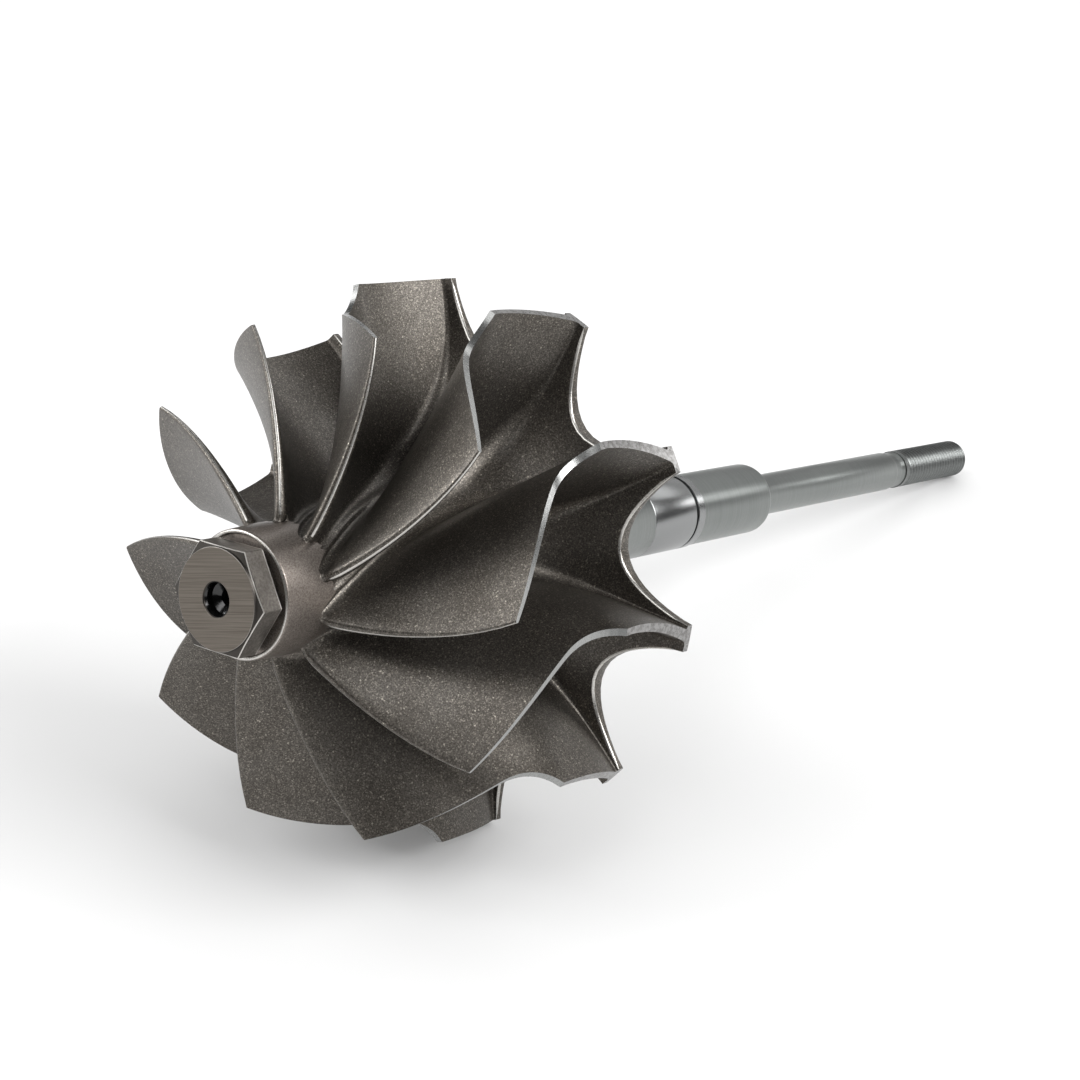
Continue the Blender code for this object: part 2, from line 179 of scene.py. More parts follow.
# share of the way to the next blade, place of the edge along the axis
COLLAR_EDGE = ((0.0, -0.00615), (0.11, -0.00575), (0.22, -0.00520), (0.33, -0.00470),
               (0.42, -0.00425), (0.47, -0.00420), (0.50, -0.00450), (0.55, -0.00540),
               (0.60, -0.00605), (0.67, -0.00635), (0.75, -0.00642), (0.83, -0.00638),
               (0.92, -0.00628), (1.0, -0.00615))
VALLEY_FREE_Z = 0.0010
RIDGE_ACROSS = 0.45
RIDGE_WIDTH = 0.11
# place along the axis, height
RIDGE_RISE = ((-0.0070, -0.00004), (-0.0042, -0.00004), (-0.0020, 0.00017), (0.0000, 0.00030),
              (0.0025, 0.00045), (0.0060, 0.00055), (0.0090, 0.00045), (0.0140, 0.0))
GUTTER_DEPTH = ((-0.0070, 0.00034), (-0.0030, 0.00034), (0.0040, 0.0))
VALLEY_HEIGHT = 0.0020
FOOT_ROUND = 0.0004
FLOOR_STEP = 0.00025
FLOOR_RUN_IN = 0.2
OUTLET_ZONE = 0.02
FLOOR_SETTLE_POWER = 2.2
MERGE_DISTANCE = 0.000004
SAME_SPOT = 0.000002
CREASE = radians(32.0)

STATIONS = 56
WALL_ROWS = 18
FILLET_ROWS = 7
FLOOR_COLUMNS = 24
EDGE_COLUMNS = 8
APRON_ROWS = 5
FIRST_SWEEP = atan2((OUTLET_ROOT_Z - HUB_FRONT_Z) / BELL_LENGTH, 1.0)

# marks on the faces (the crest mark carries a painted highlight), then patterns to the metre and the share
# of the painted glint specks that stays dull
CAST_SKIN, COLLAR_SKIN, CREST_HIGHLIGHT, RIM_TURNED, CONTOUR_GROUND = 0.0, 0.25, 0.45, 0.65, 1.0
GRAIN_WAVES, PIT_WAVES, CLOUD_WAVES = 5200.0, 1700.0, 150.0
FINE_GLINT_SPECKS = (7600.0, 0.86)
BRIGHT_GLINT_SPECKS = (6000.0, 0.982)
SKIN_DEPTH = 0.00005
PIT_TONES = (0.050, 0.044, 0.038, 1), (0.064, 0.057, 0.050, 1)
GRAIN_TONES = (0.120, 0.107, 0.092, 1), (0.143, 0.131, 0.116, 1)
# painted glints: colour of the bright specks that stand in for light caught by the skin's grains
PAINTED_GLINT_TONE = (0.52, 0.475, 0.405, 1)
COLLAR_TONES = (0.150, 0.128, 0.112, 1), (0.262, 0.232, 0.208, 1)
COLLAR_PAINTED_GLINT_TONE = (0.42, 0.38, 0.34, 1)
# painted highlight along the rounded crests of the outlet edges and the lips
CREST_HIGHLIGHT_TONE = (0.56, 0.545, 0.515, 1)
RIM_TONES = (0.17, 0.165, 0.16, 1), (0.29, 0.285, 0.28, 1)
GROUND_TONES = (0.24, 0.242, 0.236, 1), (0.38, 0.385, 0.38, 1)

ROTOR_PLACE = (0.0, -0.074714, 0.040613)
ROTOR_TURN = -pi / 2.0 - radians(12.8107)
rotor = Matrix.Translation(ROTOR_PLACE) @ Matrix.Rotation(ROTOR_TURN, 4, "X")


def hub_point(sweep):
    """Radius and z on the hub's bell, from sweep 0 at the nose to pi / 2 at the rim."""
    ahead, out = abs(sin(sweep)), abs(cos(sweep))
    reach = (ahead ** HUB_SHAPE_POWER + out ** HUB_SHAPE_POWER) ** (-1.0 / HUB_SHAPE_POWER)
    return INLET_RADIUS - BELL_HEIGHT * reach * out, HUB_FRONT_Z + BELL_LENGTH * reach * ahead


def root_point(share):
    """Where the blade's foot meets the hub: share 0 at the outlet, 1 at the inlet."""
    radius, z = hub_point(FIRST_SWEEP + (pi / 2.0 - FIRST_SWEEP) * share)
    return Vector((radius, z))


def share_at_radius(radius):
    """Share at which the blade's foot lies at this radius."""
    out = min(max((INLET_RADIUS - radius) / BELL_HEIGHT, 0.0), 1.0)
    ahead = (1.0 - out ** HUB_SHAPE_POWER) ** (1.0 / HUB_SHAPE_POWER)
    return (atan2(ahead, out) - FIRST_SWEEP) / (pi / 2.0 - FIRST_SWEEP)


def contour_point(share):
    """Radius and z on the ground outer edge: a straight cylinder, then an arc out to the inlet."""
    z = INLET_FRONT * share
    end_sine = sqrt(1.0 - (1.0 - (INLET_RADIUS - OUTLET_RADIUS) / SHROUD_ARC_RADIUS) ** 2)
    along = (z - INLET_FRONT) / SHROUD_ARC_RADIUS + end_sine
    if along <= 0.0:
        return Vector((OUTLET_RADIUS, z))
    along = min(along, end_sine)
    return Vector((OUTLET_RADIUS + SHROUD_ARC_RADIUS * (1.0 - sqrt(1.0 - along * along)), z))


def wrap_angle(z):
    """Angle of a blade's middle surface at z, from the middle of its own tip plate."""
    if z < TURNING_Z:
        return TURNING_WRAP + OUTLET_WRAP * ((TURNING_Z - z) / TURNING_Z) ** 2
    return TURNING_WRAP + INLET_WRAP_RISE * ((z - TURNING_Z) / (DISC_BACK_Z - TURNING_Z)) ** 2


def blade_bow(share, span):
    """Sideways bow of the outlet half as an angle: none at the foot, the outer edge and the inlet."""
    return -BLADE_BOW * sqrt(max(span, 0.0)) * max(1.0 - span, 0.0) ** BOW_FADE_POWER * (1.0 - share) ** 2


def wrap_slope(z):
    """How fast wrap_angle changes along the axis."""
    if z < TURNING_Z:
        return -2.0 * OUTLET_WRAP * (TURNING_Z - z) / TURNING_Z ** 2
    return 2.0 * INLET_WRAP_RISE * (z - TURNING_Z) / (DISC_BACK_Z - TURNING_Z) ** 2


def blade_thickness(share, span):
    """Thin along the free edges, thickest in the middle of the foot."""
    bulge = sin(pi * share) ** BULGE_POWER if 0.0 < share < 1.0 else 0.0
    edge = OUTLET_EDGE_THICKNESS + (INLET_EDGE_THICKNESS - OUTLET_EDGE_THICKNESS) * share
    foot = EDGE_FOOT_THICKNESS + (BLADE_ROOT_THICKNESS - EDGE_FOOT_THICKNESS) * bulge
    tip = edge + (BLADE_TIP_THICKNESS - edge) * bulge
    return tip + (foot - tip) * max(1.0 - span, 0.0) ** TAPER_POWER


def half_width(radius, z, share, span):
    """Half the blade's width as an angle about the axis."""
    slant = sqrt(1.0 + (radius * wrap_slope(z)) ** 2)
    return 0.5 * blade_thickness(share, span) * slant / radius


def table_value(table, at):
    """Straight lines between the table's (place, value) rows, level outside them."""
    if at <= table[0][0]:
        return table[0][1]
    for (near, low), (far, high) in zip(table, table[1:]):
        if at <= far:
            return low + (high - low) * (at - near) / (far - near)
    return table[-1][1]


def edge_shift(radius, z, share, span, side):
    """Moves a face's outlet end along the axis, so the rounded edge is square to the blade and its
    front stays in one plane however thick the blade is."""
    lean = -radius * wrap_slope(z)
    slant = sqrt(1.0 + lean * lean)
    thickness = blade_thickness(share, span)
    shift = 0.5 * (thickness * lean * side + thickness - OUTLET_EDGE_THICKNESS) / slant
    return shift * max(1.0 - share / EDGE_SHIFT_SHARE, 0.0)


def fillet_at(share):
    """Radius of the root fillet, never more than half of what lies between two blades."""
    radius, z = root_point(share)
    grown = min(max((z - OUTLET_ROOT_Z) / (FRONT_FILLET_END - OUTLET_ROOT_Z), 0.0), 1.0)
    wanted = table_value(ROOT_FILLETS, radius) * (FRONT_FILLET_SHARE + (1.0 - FRONT_FILLET_SHARE) * grown)
    half_gap = (PITCH / 2.0 - half_width(radius, z, share, 0.0)) * radius
    return min(wanted, half_gap - FILLET_GAP)


def valley_point(radius, angle, z, height):
    """Shapes the valley behind the nose: it starts at the collar's edge, with a low ridge between
    two gutters that run out along the blades. Points higher up the blade stay where they are."""
    low = max(1.0 - height / VALLEY_HEIGHT, 0.0)
    across = (angle - wrap_angle(z)) / PITCH
    if z < VALLEY_FREE_Z:
        kept = (VALLEY_FREE_Z - z) / (VALLEY_FREE_Z - OUTLET_ROOT_Z)
        back = z + (table_value(COLLAR_EDGE, across) - OUTLET_ROOT_Z) * kept * low
        angle += wrap_angle(back) - wrap_angle(z)
        z = back
    ridge = exp(-((across - RIDGE_ACROSS) / RIDGE_WIDTH) ** 2)
    lift = table_value(RIDGE_RISE, z) * ridge - table_value(GUTTER_DEPTH, z) * (1.0 - ridge)
    return radius + lift * low, angle, z


def quarter_turn(steps):
    """Angles from none to a quarter turn."""
    return [pi / 2.0 * i / steps for i in range(steps + 1)]


def flank_points(share, side):
    """Section of one blade face at share, from its outer edge down and round the fillet.

    Side 1 is the face that looks towards larger angles, side -1 the next blade's opposite face.
    """
    root, edge = root_point(share), contour_point(share)
    length = (edge - root).length
    fillet = fillet_at(share)
    steps = [(fillet + (length - fillet) * (i / WALL_ROWS) ** 1.5, 0.0)
             for i in range(WALL_ROWS, -1, -1)]
    for swing in quarter_turn(FILLET_ROWS)[1:]:
        steps.append((fillet * (1.0 - sin(swing)), fillet * (1.0 - cos(swing))))
    points = []
    for height, offset in steps:
        radius, z = root.lerp(edge, height / length)
        z += edge_shift(radius, z, share, height / length, side)
        reach = half_width(radius, z, share, height / length) + offset / radius
        angle = wrap_angle(z) + (reach if side > 0 else PITCH - reach)
        radius, angle, z = valley_point(radius, angle, z, height)
        points.append((radius, angle + blade_bow(share, height / length), z))
    return points


def bead_height(share):
    """Fine bead left where the mould's pieces met, along both sides of the valley floor."""
    radius, z = root_point(share)
    free = (PITCH - 2.0 * half_width(radius, z, share, 0.0)) * radius - 2.0 * fillet_at(share)
    return PARTING_BEAD * min(max((free - BEAD_GAP) / BEAD_RUN_IN, 0.0), 1.0)


def border_angle(share, side):
    """Angle where the fillet ends and the valley floor starts."""
    radius, z = root_point(share)
    reach = half_width(radius, z, share, 0.0) + fillet_at(share) / radius
    return wrap_angle(z) + (reach if side > 0 else PITCH - reach)


def scallop_y(x):
    """Height of the parabola that the scallop follows."""
    return SCALLOP_BOTTOM_RADIUS + SCALLOP_SHARPNESS * x * x


def scallop_points(count):
    """Evenly spaced points of the scallop between two tip plates, each with the direction inwards
    and the way along the scallop to the nearest plate."""
    low, high = 0.0, SCALLOP_WIDEST
    for _ in range(60):  # halves what is left until nothing is
        middle = (low + high) / 2.0
        if hypot(middle, scallop_y(middle)) < INLET_RADIUS:
            low = middle
        else:
            high = middle
    fine = [low * (2.0 * i / SCALLOP_STEPS - 1.0) for i in range(SCALLOP_STEPS + 1)]
    curve = [Vector((x, scallop_y(x))) for x in fine]
    run = [0.0]
    for here, there in zip(curve, curve[1:]):
        run.append(run[-1] + (there - here).length)
    points, at = [], 0
    for i in range(count + 1):
        while at < SCALLOP_STEPS - 1 and run[at + 1] < run[-1] * i / count:
            at += 1
        x = fine[-1] if i == count else fine[at]
        inward = Vector((2.0 * SCALLOP_SHARPNESS * x, -1.0)).normalized()
        nearest_corner = min(run[at], run[-1] - run[at])
        points.append((Vector((x, scallop_y(x))), inward, nearest_corner))
    return points


class Sheet:
    """Vertices and faces of one blade passage, in the rotor's own frame."""

    def __init__(self):
        self.vertices, self.faces, self.finish = [], [], []

    def point(self, radius, angle, z):
        """Adds a point and returns its number."""
        self.vertices.append((radius * cos(angle), radius * sin(angle), z))
        return len(self.vertices) - 1

    def row(self, points):
        """Adds a row of points."""
        return [self.point(*place) for place in points]

    def strip(self, here, there, finish=CAST_SKIN):
        """Faces between two rows of equal length."""
        for a, b, c, d in zip(here, here[1:], there[1:], there):
            corners = []
            for index in (a, b, c, d):
                spot = self.vertices[index]
                if all((Vector(spot) - Vector(self.vertices[other])).length > SAME_SPOT
                       for other in corners):
                    corners.append(index)
            if len(corners) > 2:
                self.faces.append(corners)
                self.finish.append(finish)

    def grid(self, rows, finish=CAST_SKIN):
        """Faces between rows that follow one another."""
        for here, there in zip(rows, rows[1:]):
            self.strip(here, there, finish)

    def cap(self, row, z, finish):
        """Fan from a row in to the axis."""
        middle = self.point(0.0, 0.0, z)
        for a, b in zip(row, row[1:]):
            self.faces.append([a, b, middle])
            self.finish.append(finish)


def arc(centre, radius, start, end, steps):
    """Points of an arc in the (radius, z) plane, angles in degrees."""
    swings = [radians(start + (end - start) * i / steps) for i in range(steps + 1)]
    return [(centre[0] + radius * cos(swing), centre[1] + radius * sin(swing)) for swing in swings]


def turned_back(points):
    """The same points one blade earlier."""
    return [(radius, angle - PITCH, z) for radius, angle, z in points]


def between(here, there, shares):
    """Points that lie at these shares of the way from one point to the other."""
    return [tuple(a + (b - a) * share for a, b in zip(here, there)) for share in shares]


def rim_rows(corner, inward, lip, start_z):
    """Rounded front lip, straight wall and rounded back lip of the rim at one of its points."""
    rows = [(corner + inward * lip * (1.0 - sin(swing)), start_z + lip * (1.0 - cos(swing)))
            for swing in quarter_turn(FRONT_LIP_STEPS)]
    back = min(BACK_LIP, lip)
    rows.append((corner, (start_z + lip + DISC_BACK_Z - back) / 2.0))
    rows += [(corner + inward * back * (1.0 - cos(swing)), DISC_BACK_Z - back * (1.0 - sin(swing)))
             for swing in quarter_turn(BACK_LIP_STEPS)]
    return rows


def scalloped_rim():
    """Rim's rows at each place round the scallop; its two ends lie on the tip plates' cylinder."""
    rims = []
    for corner, inward, run in scallop_points(FLOOR_COLUMNS - 4):
        lip = FRONT_LIP * min(0.12 + run / LIP_RUN_IN, 1.0)
        inner = corner + inward * lip
        z = hub_point(FIRST_SWEEP + (pi / 2.0 - FIRST_SWEEP) * share_at_radius(inner.length))[1]
        rims.append([(spot.length, PITCH / 2.0 + atan2(spot.x, spot.y), height)
                     for spot, height in rim_rows(corner, inward, lip, z)])
    for end in (0, -1):
        rims[end] = [(INLET_RADIUS, angle, z) for _, angle, z in rims[end]]
    return rims


def passage_sheet():
    """One passage: two blade faces, the valley floor, the rim's scallop and the disc's back."""
    sheet = Sheet()
    shares = [OUTLET_EDGE_SHARE + (1.0 - OUTLET_EDGE_SHARE) * i / STATIONS
              for i in range(STATIONS + 1)]
    left = [flank_points(share, 1) for share in shares]
    right = [flank_points(share, -1) for share in shares]
    for flanks in (left, right):
        for share, points in zip(shares, flanks):
            radius, angle, z = points[-1]
            points[-1] = (radius + bead_height(share), angle, z - 0.3 * bead_height(share))
    sheet.grid([sheet.row(points) for points in left])
    sheet.grid([sheet.row(points) for points in right])

    rims = scalloped_rim()
    floor_rows = [[left[i][-1]] + floor_points(share, i / STATIONS, rims) + [right[i][-1]]
                  for i, share in enumerate(shares)]
    sheet.grid([sheet.row(points) for points in floor_rows])

    contour_shares = [i / EDGE_COLUMNS for i in range(EDGE_COLUMNS + 1)]
    before = [turned_back(points) for points in right]
    sheet.grid([sheet.row(between(before[i][0], left[i][0], contour_shares))
                for i in range(STATIONS + 1)], CONTOUR_GROUND)
    outlet_edge(sheet, before[0], left[0], contour_shares)
    apron(sheet, before[0], left[0], right[0], floor_rows[0])
    inlet_rows = [between(a, b, contour_shares) for a, b in zip(before[-1], left[-1])]
    inlet_rows = [[(INLET_RADIUS, angle, z) for _, angle, z in points] for points in inlet_rows]
    sheet.grid([sheet.row(points) for points in inlet_rows], RIM_TURNED)
    disc_back(sheet, rims, turned_back(floor_rows[-1])[-3:-1], inlet_rows[-1], floor_rows[-1][1:3])
    return sheet


def beside_fillet(share, along, side, corner_angle):
    """Floor point a short step from the fillet, and never past the scallop's corner."""
    radius, z = root_point(share)
    border, opposite = border_angle(share, side), border_angle(share, -side)
    room = abs(corner_angle - border_angle(1.0, side)) * INLET_RADIUS
    step = min(FLOOR_STEP, 0.5 * room) * min(1.0, 0.3 + 0.7 * along / FLOOR_RUN_IN)
    columns = FLOOR_COLUMNS if along < OUTLET_ZONE else FLOOR_COLUMNS // 3
    step = min(step, abs(opposite - border) * radius / columns)
    return valley_point(radius, border + side * step / radius, z, 0.0)


def out_to_scallop(column, along, rim_place):
    """Floor point on the line that runs from the outlet out to one place of the scallop's lip."""
    end_radius, end_angle, _ = rim_place
    end_share = 1.0 if column in (2, FLOOR_COLUMNS - 2) else min(share_at_radius(end_radius), 1.0)
    low, high = border_angle(end_share, 1), border_angle(end_share, -1)
    start, end = column / FLOOR_COLUMNS, (end_angle - low) / (high - low)
    across = start + (end - start) * along ** FLOOR_SETTLE_POWER
    here = OUTLET_EDGE_SHARE + (end_share - OUTLET_EDGE_SHARE) * along
    radius, z = root_point(here)
    low, high = border_angle(here, 1), border_angle(here, -1)
    return valley_point(radius, low + (high - low) * across, z, 0.0)


def floor_points(share, along, rims):
    """Valley floor at one station, between the fillets; its middle ends at the scallop."""
    middle = [out_to_scallop(column, along, rims[column - 2][0])
              for column in range(2, FLOOR_COLUMNS - 1)]
    return ([beside_fillet(share, along, 1, rims[0][0][1])] + middle
            + [beside_fillet(share, along, -1, rims[-1][0][1])])


def rounded_edge(lows, highs):
    """Points round the blade's outlet edge, from one face to the other."""
    root, edge = root_point(0.0), contour_point(0.0)
    span = min(max((lows[0] - root.x) / (edge.x - root.x), 0.0), 1.0)
    thickness = blade_thickness(0.0, span)
    crest = acos(min(EDGE_CREST / thickness, CREST_SHARE))
    half = [crest * i / (EDGE_COLUMNS // 2 - 1) for i in range(EDGE_COLUMNS // 2)]
    points = []
    for swing in half + [pi / 2.0] + [pi - at for at in reversed(half)]:
        across = (1.0 - cos(swing)) / 2.0
        bulge = 0.5 * thickness * sin(swing)
        radius, angle, z = between(lows, highs, [across])[0]
        lean = -radius * wrap_slope(z)
        points.append((radius, angle + bulge * lean / sqrt(1.0 + lean * lean) / radius,
                       z - bulge / sqrt(1.0 + lean * lean)))
    return points


def outlet_edge(sheet, before, after, contour_shares):
    """Rounded free edge at the outlet, from the ground contour down to the apron; its crest gets a painted
    highlight.
    """
    rows = [sheet.row(rounded_edge(before[k], after[k])) for k in range(WALL_ROWS)]
    middle = EDGE_COLUMNS // 2
    sheet.grid([row[:middle] for row in rows])
    # The crest's middle strips carry the crest mark: a painted highlight along the rounded edge.
    sheet.grid([row[middle - 1:middle + 2] for row in rows], CREST_HIGHLIGHT)
    sheet.grid([row[middle + 1:] for row in rows])
    sheet.strip(sheet.row(between(before[0], after[0], contour_shares)), rows[0], CONTOUR_GROUND)


def apron(sheet, before, after, far, floor):
    """Front end of the passage: the blade's foot and the valley meet the collar's round surface."""
    start = WALL_ROWS - 1
    nose = rounded_edge(before[start], after[start])
    section = nose + after[start + 1:-1] + floor + list(reversed(far[start:-1]))
    rows = [sheet.row(section)]
    for swing in quarter_turn(APRON_ROWS)[1:]:
        points = []
        for radius, angle, z in section:
            height = radius - COLLAR_BACK_RADIUS
            forward = min(abs(height), FOOT_ROUND) * (1.0 - cos(swing))
            points.append((COLLAR_BACK_RADIUS + height * (1.0 - sin(swing)), angle, z - forward))
        rows.append(sheet.row(points))
    sheet.grid(rows)
    collar = [rows[-1]]
    for share in (0.1, 1.0):
        collar.append(sheet.row([(COLLAR_BACK_RADIUS - COLLAR_DRAFT * share, angle,
                                  z + (COLLAR_JOINT_Z - z) * share) for _, angle, z in points]))
    collar.append(sheet.row([(COLLAR_CAP_RADIUS, angle, COLLAR_JOINT_Z) for _, angle, _ in points]))
    sheet.grid(collar, COLLAR_SKIN)
    sheet.cap(collar[-1], COLLAR_JOINT_Z, COLLAR_SKIN)


def disc_back(sheet, rims, before_plate, foot, after_plate):
    """Tip plate's turned face, the scallop's wall, the dished back and the boss down to the weld."""
    plate = before_plate + foot + after_plate
    first, last = turned_back(rims[-1]), rims[0]
    shares = [(angle - plate[0][1]) / (plate[-1][1] - plate[0][1]) for _, angle, _ in plate]
    plate_rows = [plate] + [[(INLET_RADIUS, low[1] + (high[1] - low[1]) * share, low[2])
                             for share in shares] for low, high in zip(first[1:], last[1:])]
    sheet.grid([sheet.row(points) for points in plate_rows], RIM_TURNED)
    wall = [[rim[i] for rim in rims] for i in range(len(rims[0]))]
    wall_rows = [sheet.row(points) for points in wall]
    sheet.grid(wall_rows[:2])
    # The front lip's middle rows carry the crest mark: a painted highlight along the scallop's edge.
    sheet.grid(wall_rows[1:FRONT_LIP_STEPS], CREST_HIGHLIGHT)
    sheet.grid(wall_rows[FRONT_LIP_STEPS - 1:])

    border = plate_rows[-1] + wall[-1][1:]
    back = [sheet.row([(radius + (BACK_FACE[0][0] - radius) * share, angle, DISC_BACK_Z)
                       for radius, angle, _ in border]) for share in (0.0, 0.3, 0.65, 1.0)]
    back += [sheet.row([(radius, angle, DISC_BACK_Z + step) for _, angle, _ in border])
             for radius, step in BACK_FACE[1:]]
    sheet.grid(back)
    fillet = BOSS_RADIUS - SEAL_RADIUS
    boss = arc((SEAL_RADIUS, BOSS_END_Z - fillet), fillet, 0, 90, 8)
    boss.append((SEAL_RADIUS - JOINT_CHAMFER, BOSS_END_Z + JOINT_LAP))
    boss_rows = [sheet.row([(radius, angle, z) for _, angle, _ in border]) for radius, z in boss]
    sheet.grid([back[-1]] + boss_rows, CONTOUR_GROUND)
    sheet.cap(boss_rows[-1], BOSS_END_Z + JOINT_LAP, CAST_SKIN)


sheet = passage_sheet()
passage_mesh = bpy.data.meshes.new("blade_passage")
passage_mesh.from_pydata(sheet.vertices, [], sheet.faces)
marks = passage_mesh.attributes.new("finish_and_highlight", "FLOAT", "FACE")
marks.data.foreach_set("value", sheet.finish)
passage = placed("blade_passage", passage_mesh)


class Wire:
    """Output socket of a node. Arithmetic on it adds Math nodes to its tree."""

    def __init__(self, socket):
        self.socket = socket
        self.tree = socket.id_data

    @staticmethod
    def node(tree, kind, settings=None, sockets=None, out=0):
        """New node of a kind: settings first, then the values or links of its sockets."""
        made = tree.nodes.new(kind)
        for name, value in (settings or {}).items():
            setattr(made, name, value)
        for key, value in (sockets or {}).items():
            if isinstance(value, Wire):
                tree.links.new(value.socket, made.inputs[key])
            else:
                made.inputs[key].default_value = value
        return Wire(made.outputs[out]) if made.outputs else None

    def maths(self, operation, *others, first=None):
        """Math node on this wire and the others, or with another value before it."""
        values = (self, *others) if first is None else (first, self)
        return Wire.node(self.tree, "ShaderNodeMath", {"operation": operation}, dict(enumerate(values)))

    def __add__(self, other):
        return self.maths("ADD", other)

    def __sub__(self, other):
        return self.maths("SUBTRACT", other)

    def __rsub__(self, other):
        return self.maths("SUBTRACT", first=other)

    def __mul__(self, other):
        return self.maths("MULTIPLY", other)

    def __truediv__(self, other):
        return self.maths("DIVIDE", other)

    def __rtruediv__(self, other):
        return self.maths("DIVIDE", first=other)

    __radd__, __rmul__ = __add__, __mul__

    def above(self, low, high):
        """0 below low, 1 above high, smooth between."""
        return Wire.node(self.tree, "ShaderNodeMapRange", {"interpolation_type": "SMOOTHSTEP"},
                         {"Value": self, "From Min": low, "From Max": high})


def new_material(name):
    """Material with its node tree and its shader."""
    mat = bpy.data.materials.new(name)
    mat.use_nodes = True
    return mat, mat.node_tree, mat.node_tree.nodes["Principled BSDF"]


def dress(shader, colour, gloss, metallic, relief, strength, depth):
    """Gives a shader its colour, roughness, metalness and fine relief, whose depth is in metres."""
    bump = Wire.node(colour.tree, "ShaderNodeBump", {},
                     {"Height": relief, "Strength": strength, "Distance": depth})
    for key, wire in (("Base Color", colour), ("Roughness", gloss), ("Normal", bump)):
        colour.tree.links.new(wire.socket, shader.inputs[key])
    shader.inputs["Metallic"].default_value = metallic


def rotor_position(tree):
    """Position in the rotor's own frame, where z runs along the axis."""
    seen = Wire.node(tree, "ShaderNodeTexCoord", out=3)
    return Wire.node(tree, "ShaderNodeMapping", {"vector_type": "TEXTURE"},
                     {"Vector": seen, "Location": ROTOR_PLACE, "Rotation": (ROTOR_TURN, 0.0, 0.0)})


def noise(place, waves, detail=3.0):
    """Soft random pattern, with so many waves to the metre."""
    return Wire.node(place.tree, "ShaderNodeTexNoise", {},
                     {"Vector": place, "Scale": waves, "Detail": detail})


def stretched(place, *scales):
    """The same place with its axes scaled: a pattern runs out along those that are made small."""
    return Wire.node(place.tree, "ShaderNodeMapping", {}, {"Vector": place, "Scale": scales})


def blend_colours(factor, low, high):
    """Colour that goes from low to high with the factor."""
    return Wire.node(factor.tree, "ShaderNodeMix", {"data_type": "RGBA"}, {0: factor, 6: low, 7: high}, 2)


def sparkle(place, speck_waves, dull):
    """1 on a few small specks that are painted as glints, 0 on the share of them that stays dull."""
    tones = Wire.node(place.tree, "ShaderNodeTexVoronoi", {}, {"Vector": place, "Scale": speck_waves}, 1)
    return Wire.node(place.tree, "ShaderNodeSeparateColor", {}, {"Color": tones}).above(dull, dull + 0.02)


def casting_material():
    """Grainy skin with painted glint specks, smoother collar, a painted highlight along the outlet edges'
    crests and the lips, turned rim and ground contour by mark.
    """
    mat, tree, shader = new_material("cast_nickel_alloy")
    place = rotor_position(tree)
    mark = Wire.node(tree, "ShaderNodeAttribute", {"attribute_name": "finish_and_highlight"}, out=2)
    collar, outlet = mark.above(0.1, 0.2), mark.above(0.35, 0.4)
    rim, contour = mark.above(0.5, 0.6), mark.above(0.8, 0.9)
    grain, pits = noise(place, GRAIN_WAVES), noise(place, PIT_WAVES, 2.0)
    clouds = noise(place, CLOUD_WAVES).above(0.3, 0.7)
    lines = noise(stretched(place, 0.03, 0.03, 1.0), GRAIN_WAVES, 2.0)
    painted_glint = 0.34 * sparkle(place, *FINE_GLINT_SPECKS) + 0.9 * sparkle(place, *BRIGHT_GLINT_SPECKS)
    colour = blend_colours(grain.above(0.32, 0.68), blend_colours(clouds, *PIT_TONES),
                           blend_colours(clouds, *GRAIN_TONES))
    # Painted glints: bright specks mixed into the skin's colour, and below into the collar's.
    colour = blend_colours(painted_glint * 0.7, colour, PAINTED_GLINT_TONE)
    smooth = blend_colours(grain.above(0.3, 0.7), *COLLAR_TONES)
    smooth = blend_colours(painted_glint * 0.5, smooth, COLLAR_PAINTED_GLINT_TONE)
    colour = blend_colours(collar, colour, smooth)
    # Painted highlight: a bright line along the crests of the outlet edges, the scallops' lips and the
    # collar's lip, broken up by the grain.
    painted_crest_highlight = outlet * (0.65 + 0.8 * (grain - 0.5).above(-0.2, 0.2))
    colour = blend_colours(painted_crest_highlight, colour, CREST_HIGHLIGHT_TONE)
    colour = blend_colours(rim, colour, blend_colours(pits.above(0.35, 0.65), *RIM_TONES))
    colour = blend_colours(contour, colour, blend_colours(lines, *GROUND_TONES))
    gloss = 0.46 - 0.08 * painted_glint + 0.12 * (pits - 0.5) - 0.12 * outlet - 0.02 * contour - 0.04 * collar
    relief = (0.7 * grain + 0.5 * pits) * (1 - 0.35 * collar) * (1 - rim) + lines * rim * 0.25
    dress(shader, colour, gloss, 0.88, relief, 0.2, SKIN_DEPTH)
    shader.inputs["Coat Weight"].default_value = 0.16
    shader.inputs["Coat Roughness"].default_value = 0.24
    return mat


def new_tree(name, inputs):
    """Geometry Nodes tree with named inputs, and the wires that start at them."""
    tree = bpy.data.node_groups.new(name, "GeometryNodeTree")
    for label, kind in inputs.items():
        tree.interface.new_socket(label, in_out="INPUT", socket_type="NodeSocket" + kind)
    tree.interface.new_socket("Shape", in_out="OUTPUT", socket_type="NodeSocketGeometry")
    given = Wire.node(tree, "NodeGroupInput").socket.node
    return tree, [Wire(socket) for socket in given.outputs][:len(inputs)]


def end_tree(shape, finish):
    """Gives the tree's shape its finish and hands it out."""
    tree = shape.tree
    real = Wire.node(tree, "GeometryNodeRealizeInstances", {}, {"Geometry": shape})
    coated = Wire.node(tree, "GeometryNodeSetMaterial", {}, {"Geometry": real, "Material": finish})
    Wire.node(tree, "NodeGroupOutput", {}, {"Shape": coated})
    return tree


